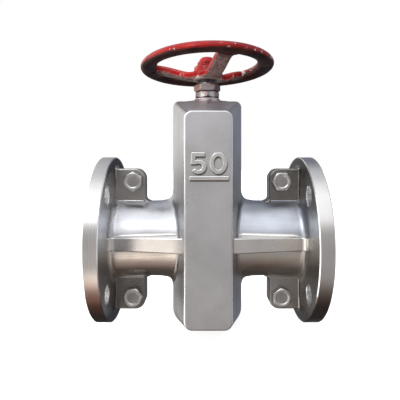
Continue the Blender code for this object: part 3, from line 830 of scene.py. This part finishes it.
def sleeve_end(end):
    """The collar at a flange and the stretch of sleeve behind it, which stay still."""
    face, back = FLANGE_OUT + SLEEVE_PROUD, FLANGE_OUT - RECESS_DEPTH + 0.3
    profile = [(PINCH_END, SLEEVE_BORE_R), (PINCH_END, SLEEVE_R), (96.0, SLEEVE_R), (back, 35.6)]
    profile += [(back, COLLAR_R), (face - 0.6, COLLAR_R), (face, COLLAR_R - 0.6), (face, 44.2)]
    profile += [(face - 0.5, 43.8), (face - 0.5, 42.2), (face, 41.8), (face, SLEEVE_BORE_R + 1.2)]
    profile += [(face - 0.4, SLEEVE_BORE_R + 0.4), (face - 1.2, SLEEVE_BORE_R)]
    return turned([(end * x, r) for x, r in profile], closed=True, axis="x", count=96)


def sleeve_half(up):
    """Half of the sleeve's middle, above or below the bore."""
    rings = []
    for i in range(73):
        x = mix(-PINCH_END, PINCH_END, i / 72)
        points = []
        for radius, first, last in ((SLEEVE_R, 0, 180), (SLEEVE_BORE_R, 180, 0)):
            points += [(x, y, up * z) for y, z in curve((0.0, 0.0), radius, first, last, 32)]
        rings.append(points)
    return skin(rings)


def follow_bar(half, bar):
    """The wall follows its bar where the bar presses on it, and stays at its sides and ends, so the stored
    shares are set again here. The bore stays a hair open, so that its walls don't run through each other."""
    top = SLEEVE_R * MM if bar == "upper_bar" else -SLEEVE_R * MM
    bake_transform(half, "housing", bar, start=(0, 0, 0), end=(0, 0, top))
    shares = half.data.attributes["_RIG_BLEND"].data
    for vert, share in zip(half.data.vertices, shares):
        radius = hypot(vert.co.y, vert.co.z)
        pressed = eased((PINCH_END - abs(vert.co.x) / MM) / (PINCH_END - PINCH_FLAT))
        most = 1.0 if radius > (SLEEVE_R - 1.0) * MM else BORE_SHARE
        share.value = most * abs(vert.co.z) / radius * pressed


def make_sleeve(rubber):
    """The rubber liner, which the two bars pinch flat across its middle."""
    for end, word in ((-1, "left"), (1, "right")):
        shape = sleeve_end(end)
        add_piece(f"sleeve_end_{word}", shape, [rubber], "housing", ["rubber_sleeve"])
    for up, word in ((1, "upper"), (-1, "lower")):
        shape = sleeve_half(up)
        half = add_piece(f"sleeve_wall_{word}", shape, [rubber], None, ["rubber_sleeve"])
        follow_bar(half, f"{word}_bar")


# ---------------------------------------------------------------- materials


class Nodes:
    """A node tree under construction."""

    def __init__(self, tree):
        self.nodes, self.links = tree.nodes, tree.links

    def feed(self, socket, value):
        """Link a value that comes from another node, or set a plain one."""
        if isinstance(value, bpy.types.NodeSocket):
            self.links.new(value, socket)
        elif socket.type == "RGBA":
            socket.default_value = (*value, 1.0)
        else:
            socket.default_value = value

    def node(self, kind, inputs, **settings):
        """A new node's outputs. Its inputs are given by name or number."""
        made = self.nodes.new(kind)
        for name, value in settings.items():
            setattr(made, name, value)
        for key, value in inputs.items():
            self.feed(made.inputs[key], value)
        return made.outputs

    def blend(self, share, first, second):
        return self.node("ShaderNodeMix", {0: share, 6: first, 7: second}, data_type="RGBA")[2]


class Graph(Nodes):
    """A material under construction, with short names for the nodes it uses."""

    def __init__(self, name):
        self.material = bpy.data.materials.new(name)
        self.material.use_nodes = True
        super().__init__(self.material.node_tree)
        self.place = self.node("ShaderNodeTexCoord", {})["Object"]

    def set(self, socket, value):
        self.feed(self.nodes["Principled BSDF"].inputs[socket], value)

    def noise(self, scale, detail=3.0, rough=0.5, place=None, distort=0.0):
        inputs = {"Vector": place or self.place, "Scale": scale, "Detail": detail, "Roughness": rough}
        return self.node("ShaderNodeTexNoise", {**inputs, "Distortion": distort})["Fac"]

    def level(self, value, low, high, to_low=0.0, to_high=1.0):
        inputs = {"Value": value, "From Min": low, "From Max": high, "To Min": to_low, "To Max": to_high}
        return self.node("ShaderNodeMapRange", inputs)["Result"]

    def calc(self, operation, first, second):
        return self.node("ShaderNodeMath", {0: first, 1: second}, operation=operation)["Value"]

    def along(self, axis, vector=None):
        """One coordinate, in metres."""
        return self.node("ShaderNodeSeparateXYZ", {"Vector": vector or self.place})[axis]

    def radius(self, axis):
        """Distance from an axis, in metres."""
        across = [self.along(name) for name in "XYZ" if name != axis]
        squares = [self.calc("MULTIPLY", part, part) for part in across]
        return self.calc("POWER", self.calc("ADD", *squares), 0.5)

    def lines(self, value, scale):
        """Fine lines that follow one number."""
        vector = self.node("ShaderNodeCombineXYZ", {"X": value})["Vector"]
        return self.noise(scale, 2.0, 0.6, vector)

    def bump(self, height, strength, distance, below=None):
        inputs = {"Height": height, "Strength": strength, "Distance": distance}
        if below:
            inputs["Normal"] = below
        return self.node("ShaderNodeBump", inputs)["Normal"]

    def rounded(self, radius):
        return self.node("ShaderNodeBevel", {"Radius": radius}, samples=6)["Normal"]

    def mottled(self, scale, dark, light, detail=3.0, rough=0.5, spread=0.2):
        """Soft clouds of two colours, blended where the noise is within the spread of its middle."""
        share = self.level(self.noise(scale, detail, rough), 0.5 - spread, 0.5 + spread)
        return self.blend(share, dark, light)

    def ragged(self, value, scale, by, rough=0.6):
        """A number made uneven by noise, by up to an amount either way."""
        return self.calc("ADD", value, self.level(self.noise(scale, 4.0, rough), 0.2, 0.8, -by, by))

    def finish(self, colour, rough, normal, metallic=1.0):
        self.set("Base Color", colour)
        self.set("Metallic", metallic)
        self.set("Roughness", rough)
        self.set("Normal", normal)
        return self.material


def shaded(tint, by):
    return tuple(min(c * by, 1.0) for c in tint)


def blasted_metal(name, tint, rough, grain=1.0):
    """Cast metal with a fine blasted grain, slow waves and a few pits."""
    g = Graph(name)
    fine = g.noise(1500.0, 3.0, 0.6)
    pits = g.level(g.noise(420.0, 2.0, 0.4), 0.66, 0.76)
    colour = g.mottled(38.0, shaded(tint, 0.86), shaded(tint, 1.08), detail=4.0)
    colour = g.blend(g.level(fine, 0.3, 0.7, 0.0, 0.18), colour, (0.9, 0.9, 0.9))
    colour = g.blend(g.calc("MULTIPLY", pits, 0.35), colour, shaded(tint, 0.5))
    roughness = g.level(fine, 0.25, 0.75, rough - 0.07, rough + 0.1)
    waves = g.bump(g.noise(90.0, 2.0), 0.12, 0.0008)
    return g.finish(colour, roughness, g.bump(fine, 0.22 * grain, 0.00025, waves))


def polished_metal(name, tint, rough):
    """A hand-polished casting, a little uneven, painted lighter and warmer below as a reflection of a warm
    floor, with faint scratches along the pipe.
    """
    g = Graph(name)
    drawn_out = g.node("ShaderNodeMapping", {"Vector": g.place, "Scale": (0.06, 1.0, 1.0)})["Vector"]
    streaks = g.noise(700.0, 3.0, 0.6, drawn_out)
    colour = g.mottled(26.0, shaded(tint, 0.78), shaded(tint, 1.06), spread=0.18)
    # painted reflection: a lighter, warmer colour below the pipe's axis
    painted_warm_reflection = (tint[0] * 1.22, tint[0] * 1.17, tint[0] * 1.11)
    colour = g.blend(g.level(g.along("Z"), 0.004, -0.006), colour, painted_warm_reflection)
    roughness = g.level(g.calc("ADD", streaks, g.noise(60.0)), 0.7, 1.3, rough - 0.05, rough + 0.1)
    waves = g.bump(g.noise(38.0, 2.0), 0.12, 0.001)
    return g.finish(colour, roughness, g.bump(streaks, 0.06, 0.0002, waves))


def turned_metal(name, tint, rough):
    """Turned metal: fine lines round the bore, a lower side painted dark as shade, and a rusty blush low on
    the left.
    """
    g = Graph(name)
    height = g.ragged(g.along("Z"), 28.0, 0.012, rough=0.5)
    grooves = g.calc("ADD", g.lines(g.radius("X"), 1900.0), g.lines(g.along("X"), 1600.0))
    shade = g.level(g.calc("ADD", g.noise(30.0, 4.0), g.calc("MULTIPLY", grooves, 0.12)), 0.42, 0.82)
    # painted shade: darker towards the bottom
    low = g.level(height, -0.026, -0.058, 0.0, 0.9)
    turned_colour = g.blend(shade, shaded(tint, 0.84), shaded(tint, 1.08))
    colour = g.blend(low, turned_colour, shaded(tint, 0.24))
    left = g.level(g.along("X"), -0.07, -0.09)
    under, over = g.level(height, -0.012, -0.036, 0.0, 0.75), g.level(height, -0.066, -0.048)
    blush = g.calc("MULTIPLY", g.calc("MULTIPLY", left, under), over)
    colour = g.blend(blush, colour, (0.50, 0.31, 0.26))
    roughness = g.level(grooves, 0.7, 1.3, rough - 0.06, rough + 0.1)
    waves = g.bump(g.noise(40.0, 2.0), 0.12, 0.001)
    return g.finish(colour, roughness, g.bump(grooves, 0.07, 0.0002, waves))


def flange_back():
    """The back of a flange, turned beside the neck: a bluish reflection is painted on the left flange, and
    shade on the right one and low down. Near the top and the bottom it is rough, speckled and painted
    near-black as shade.
    """
    g = Graph("body_flange_back")
    away = g.calc("ABSOLUTE", g.along("Z"), 0.0)
    # near the top and the bottom: rougher and speckled, and painted near-black as shade
    cast = g.level(g.ragged(away, 120.0, 0.006), 0.050, 0.066)
    specks = g.level(g.noise(800.0, 3.0, 0.7), 0.45, 0.62)
    grooves = g.lines(g.radius("X"), 1900.0)
    # a painted bluish reflection on the left flange, painted shade on the right one
    side = g.level(g.along("X"), -0.02, 0.02)
    turned_colour = g.blend(side, (0.86, 0.88, 0.93), (0.44, 0.435, 0.43))
    turned_colour = g.blend(g.level(grooves, 0.3, 0.7, 0.0, 0.25), turned_colour, (0.30, 0.29, 0.29))
    # painted shade: darker towards the bottom
    low = g.level(g.along("Z"), 0.012, -0.012, 0.0, 0.75)
    turned_colour = g.blend(low, turned_colour, (0.30, 0.28, 0.26))
    left = g.blend(specks, (0.028, 0.026, 0.023), (0.15, 0.14, 0.13))
    roughness = g.calc("ADD", g.level(grooves, 0.3, 0.7, 0.24, 0.38), g.calc("MULTIPLY", cast, 0.18))
    normal = g.bump(specks, 0.25, 0.0003, g.bump(grooves, 0.07, 0.0002))
    return g.finish(g.blend(cast, turned_colour, left), roughness, normal)


def plain_metal(name, tint, rough, stain=None, metallic=1.0):
    """Small hardware with tool marks and smudges. A stain, where there is one, comes in spots, and is painted
    darker towards the left and right sides as shade.
    """
    g = Graph(name)
    marks = g.noise(600.0, 4.0, 0.6)
    colour = g.mottled(110.0, shaded(tint, 0.78), tint)
    if stain:
        spots = g.level(g.noise(75.0, 4.0, 0.6, distort=0.5), 0.50, 0.60, 0.0, 0.8)
        colour = g.blend(spots, colour, stain)
        # painted shade: darker towards the left and right sides
        aside = g.level(g.calc("ABSOLUTE", g.along("X"), 0.0), 0.0055, 0.0080, 0.0, 0.8)
        colour = g.blend(aside, colour, shaded(stain, 0.5))
    roughness = g.level(marks, 0.3, 0.7, rough - 0.06, rough + 0.14)
    return g.finish(colour, roughness, g.bump(marks, 0.12, 0.0002, g.rounded(0.0004)), metallic)


def red_enamel():
    """Thick gloss enamel sprayed from above on a rough casting: scuffed and chipped. Faces that point down
    are worn and brownish near the hub, and painted near-black as shade further out. The right side is painted
    darker as shade.
    """
    g = Graph("wheel_enamel")
    lumps = g.noise(130.0, 3.0, 0.55)
    scuff = g.level(g.noise(95.0, 5.0, 0.62, distort=0.6), 0.60, 0.66)
    chips = g.level(g.noise(125.0, 5.0, 0.62, distort=0.5), 0.628, 0.648)
    bald = g.level(g.noise(46.0, 6.0, 0.66, distort=0.9), 0.635, 0.655)
    chips = g.calc("MAXIMUM", chips, g.calc("MULTIPLY", bald, 0.85))
    # faces that point down: worn paint near the hub, painted shade elsewhere
    facing = g.along("Z", g.node("ShaderNodeNewGeometry", {})["Normal"])
    below = g.level(g.ragged(facing, 70.0, 0.3), -0.10, -0.65)
    tone = g.mottled(45.0, (0.26, 0.006, 0.006), (0.50, 0.012, 0.010))
    # painted shade: darker on the right side
    aside = g.ragged(g.along("X"), 55.0, 0.03)
    tone = g.blend(g.level(aside, 0.0, 0.05, 0.0, 0.75), tone, (0.15, 0.005, 0.006))
    pale = g.blend(g.calc("MULTIPLY", scuff, 0.30), tone, (0.80, 0.26, 0.24))
    chipped = g.blend(chips, pale, (0.62, 0.57, 0.55))
    near_hub = g.level(g.radius("Z"), 0.053, 0.044)
    worn = g.mottled(260.0, (0.12, 0.055, 0.048), (0.36, 0.25, 0.23), 5.0, 0.65, 0.15)
    # painted shade: the near-black colour of the undersides out towards the rim
    painted_shading = g.mottled(60.0, (0.016, 0.004, 0.004), (0.060, 0.020, 0.016), spread=0.15)
    colour = g.blend(below, chipped, g.blend(near_hub, painted_shading, worn))
    roughness = g.calc("ADD", g.level(lumps, 0.3, 0.7, 0.14, 0.30), g.calc("MULTIPLY", below, 0.35))
    normal = g.bump(chips, -0.5, 0.0003, g.bump(lumps, 0.45, 0.0009, g.rounded(0.002)))
    g.set("Specular IOR Level", 0.22)
    return g.finish(colour, roughness, normal, metallic=0.0)


def black_rubber(name, rough):
    g = Graph(name)
    grain = g.noise(900.0, 3.0, 0.6)
    colour = g.mottled(50.0, (0.018, 0.018, 0.019), (0.045, 0.044, 0.043))
    roughness = g.level(grain, 0.3, 0.7, rough - 0.08, rough + 0.1)
    return g.finish(colour, roughness, g.bump(grain, 0.2, 0.0002), metallic=0.0)


def cast_iron(name):
    g = Graph(name)
    grain = g.noise(700.0, 4.0, 0.6)
    colour = g.mottled(60.0, (0.10, 0.105, 0.11), (0.24, 0.24, 0.25), detail=4.0, spread=0.15)
    roughness = g.level(grain, 0.3, 0.7, 0.40, 0.62)
    return g.finish(colour, roughness, g.bump(grain, 0.35, 0.0003), metallic=0.9)


def repaint(nodes, material):
    """CAD nodes that stay shown take a better material."""
    for name in nodes:
        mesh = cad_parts[name].data
        mesh.materials.clear()
        mesh.materials.append(material)


# ---------------------------------------------------------------- stage

BASE_LIGHT = [  # (elevation, colour)
    (-90, (0.05, 0.035, 0.03)),
    (-65, (0.12, 0.08, 0.06)),
    (-35, (0.24, 0.19, 0.17)),
    (-8, (0.44, 0.40, 0.38)),
    (10, (0.60, 0.61, 0.63)),
    (35, (0.66, 0.68, 0.70)),
    (90, (0.90, 0.92, 0.98)),
]
LIGHT_PATCHES = [  # (azimuth, elevation, full within, gone beyond, colour)
    (0, -5, 30, 70, (0.50, 0.48, 0.48)),
    (-88, 0, 38, 58, (1.8, 1.78, 1.72)),
    (-150, 5, 20, 40, (1.10, 1.07, 1.03)),
    (88, 8, 12, 36, (0.85, 0.9, 0.98)),
    (-42, -12, 10, 20, (1.9, 1.75, 1.62)),
    (-20, -70, 8, 20, (0.42, 0.30, 0.26)),
    (-17, -47, 6, 15, (1.75, 1.55, 1.36)),
    (180, -52, 36, 48, (0.075, 0.062, 0.055)),
    (18, 38, 8, 20, (1.6, 1.6, 1.63)),
    (152, 8, 32, 58, (0.23, 0.25, 0.31)),
    (-10, 58, 22, 44, (1.75, 1.78, 1.83)),
]


class Room(Nodes):
    """The light that comes from each direction: a base by height, and soft patches over it. The camera itself
    sees plain white behind the object."""

    def __init__(self):
        world = bpy.data.worlds.new("studio")
        bpy.context.scene.world = world
        world.use_nodes = True
        super().__init__(world.node_tree)
        self.direction = self.node("ShaderNodeTexCoord", {})["Generated"]
        self.colour = None

    def smooth(self, value, low, high, kind="SMOOTHSTEP"):
        inputs = {"Value": value, "From Min": low, "From Max": high}
        return self.node("ShaderNodeMapRange", inputs, interpolation_type=kind)["Result"]

    def base(self, stops):
        height = self.node("ShaderNodeSeparateXYZ", {"Vector": self.direction})["Z"]
        ramp = self.nodes.new("ShaderNodeValToRGB")
        self.links.new(self.smooth(height, -1.0, 1.0, "LINEAR"), ramp.inputs["Fac"])
        points = ramp.color_ramp.elements
        while len(points) < len(stops):
            points.new(0.5)
        for point, (elevation, colour) in zip(points, stops):
            point.position = (sin(radians(elevation)) + 1) / 2
            point.color = (*colour, 1.0)
        self.colour = ramp.outputs["Color"]

    def patch(self, azimuth, elevation, inner, outer, colour):
        """A round soft patch of light, full within one angle and gone beyond another. Azimuth 0 is in front
        of the object, where the camera stands, and 90 is on its right."""
        a, e = radians(azimuth), radians(elevation)
        centre = (sin(a) * cos(e), -cos(a) * cos(e), sin(e))
        ends = {0: self.direction, 1: centre}
        near = self.node("ShaderNodeVectorMath", ends, operation="DOT_PRODUCT")["Value"]
        share = self.smooth(near, cos(radians(outer)), cos(radians(inner)))
        self.colour = self.blend(share, self.colour, colour)

    def done(self):
        seen = self.node("ShaderNodeLightPath", {})["Is Camera Ray"]
        self.colour = self.blend(seen, self.colour, (1.0, 1.0, 1.0))
        self.links.new(self.colour, self.nodes["Background"].inputs["Color"])


def light_room():
    room = Room()
    room.base(BASE_LIGHT)
    for patch in LIGHT_PATCHES:
        room.patch(*patch)
    room.done()


def make_key_light():
    data = bpy.data.lights.new("key", "AREA")
    data.shape = "RECTANGLE"
    data.size = data.size_y = 0.35
    data.energy = 4.0
    data.color = (0.97, 0.98, 1.0)
    light = bpy.data.objects.new("key", data)
    light.location = (-0.5, -0.9, 0.9)
    aim = Vector((0, 0, 0.05))
    light.rotation_euler = (light.location - aim).to_track_quat("Z", "Y").to_euler()
    bpy.context.scene.collection.objects.link(light)


def make_floor():
    """A pale floor that only the camera sees, so that it sends no light back up to the metal."""
    bm = bmesh.new()
    bmesh.ops.create_grid(bm, x_segments=1, y_segments=1, size=30.0)
    mesh = bpy.data.meshes.new("floor")
    bm.to_mesh(mesh)
    bm.free()
    floor = bpy.data.objects.new("floor", mesh)
    floor.location = (0, 0, (SLAB_BOTTOM[0] - 0.5) * MM)
    bpy.context.scene.collection.objects.link(floor)
    material = bpy.data.materials.new("floor_white")
    material.use_nodes = True
    shader = material.node_tree.nodes["Principled BSDF"]
    shader.inputs["Base Color"].default_value = (0.9, 0.9, 0.9, 1.0)
    shader.inputs["Roughness"].default_value = 0.9
    shader.inputs["Emission Color"].default_value = (1.0, 1.0, 1.0, 1.0)
    shader.inputs["Emission Strength"].default_value = 0.75
    mesh.materials.append(material)
    floor.visible_diffuse = False
    floor.visible_glossy = False


def make_camera():
    data = bpy.data.cameras.new("camera")
    data.lens = 37.38
    data.sensor_width = 36.0
    data.shift_x = -0.0016
    data.shift_y = -0.0788
    data.clip_start = 0.01
    camera = bpy.data.objects.new("camera", data)
    camera.location = (-0.0065, -0.415, 0.0687)
    camera.rotation_euler = (radians(90), 0.0, 0.0)
    bpy.context.scene.collection.objects.link(camera)
    bpy.context.scene.camera = camera


# ---------------------------------------------------------------- build

blasted = blasted_metal("body_blasted", (0.50, 0.49, 0.50), 0.42)
face_metal = blasted_metal("body_face", (0.47, 0.465, 0.475), 0.50, 1.2)
lug_metal = blasted_metal("body_lug", (0.29, 0.272, 0.25), 0.36)
# a darker copy of the lug metal: painted shade for two lugs and for the creases under the ribs
lug_painted_shade_metal = blasted_metal("body_lug_painted_shade", (0.150, 0.138, 0.122), 0.38)
rib_metal = blasted_metal("body_rib", (0.70, 0.68, 0.65), 0.30, 0.6)
raised_metal = blasted_metal("body_raised", (0.60, 0.59, 0.575), 0.42)
boss_metal = blasted_metal("body_boss", (0.52, 0.44, 0.45), 0.40)
# painted shade for the walls of the raised number and for the painted shadows under it
painted_shade_metal = blasted_metal("body_painted_shade", (0.12, 0.10, 0.075), 0.50)
hole_metal = plain_metal("body_holes", (0.95, 0.95, 0.95), 0.24)
polished = polished_metal("body_polished", (0.56, 0.565, 0.585), 0.28)
dull_polish = polished_metal("body_polished_dull", (0.42, 0.44, 0.48), 0.34)
machined = turned_metal("body_turned", (0.60, 0.585, 0.57), 0.28)
# polished edges, painted almost white as a highlight
edge_highlight_metal = polished_metal("body_edge_highlight", (0.90, 0.90, 0.90), 0.25)
hardware = plain_metal("hardware_steel", (0.62, 0.605, 0.59), 0.30)
washer_steel = plain_metal("hardware_washer", (0.38, 0.37, 0.36), 0.42)
gland_steel = plain_metal("gland_steel", (0.58, 0.555, 0.56), 0.26, (0.26, 0.17, 0.17))
stained_steel = plain_metal("gland_stained", (0.60, 0.52, 0.51), 0.26, (0.34, 0.10, 0.09))
rod_steel = plain_metal("rod_steel", (0.58, 0.58, 0.60), 0.26)
bare_iron = plain_metal("wheel_bare_iron", (0.52, 0.42, 0.37), 0.5, metallic=0.25)
dark_steel = plain_metal("screw_black", (0.09, 0.09, 0.10), 0.42)
bronze = plain_metal("bronze", (0.62, 0.44, 0.17), 0.30)
rubber = black_rubber("sleeve_black", 0.58)
packing = black_rubber("packing_black", 0.7)

casting = [blasted, polished, dull_polish, machined, edge_highlight_metal, face_metal, rib_metal, raised_metal]
make_housings(casting + [lug_metal, lug_painted_shade_metal, painted_shade_metal, hole_metal, flange_back(), boss_metal])
make_lug_bolts(hardware, washer_steel)
make_stem(rod_steel, dark_steel)
make_gland(gland_steel, stained_steel, packing)
make_handwheel(red_enamel(), bare_iron)
make_sleeve(rubber)
repaint(["upper_pinch_bar", "lower_pinch_bar", "crosshead"], cast_iron("bar_iron"))
repaint(["upper_bar_nut", "crosshead_nut", "thrust_washer_lower", "thrust_washer_upper"], bronze)
repaint(["upper_nut_screw", "crosshead_screw"], dark_steel)
repaint(["tie_rod_front", "tie_rod_rear"], rod_steel)
repaint([f"rod_nut_{a}_{b}" for a in ("front", "rear") for b in ("upper", "lower")], hardware)

bpy.context.scene.view_settings.view_transform = "Standard"
light_room()
make_floor()
make_key_light()
make_camera()
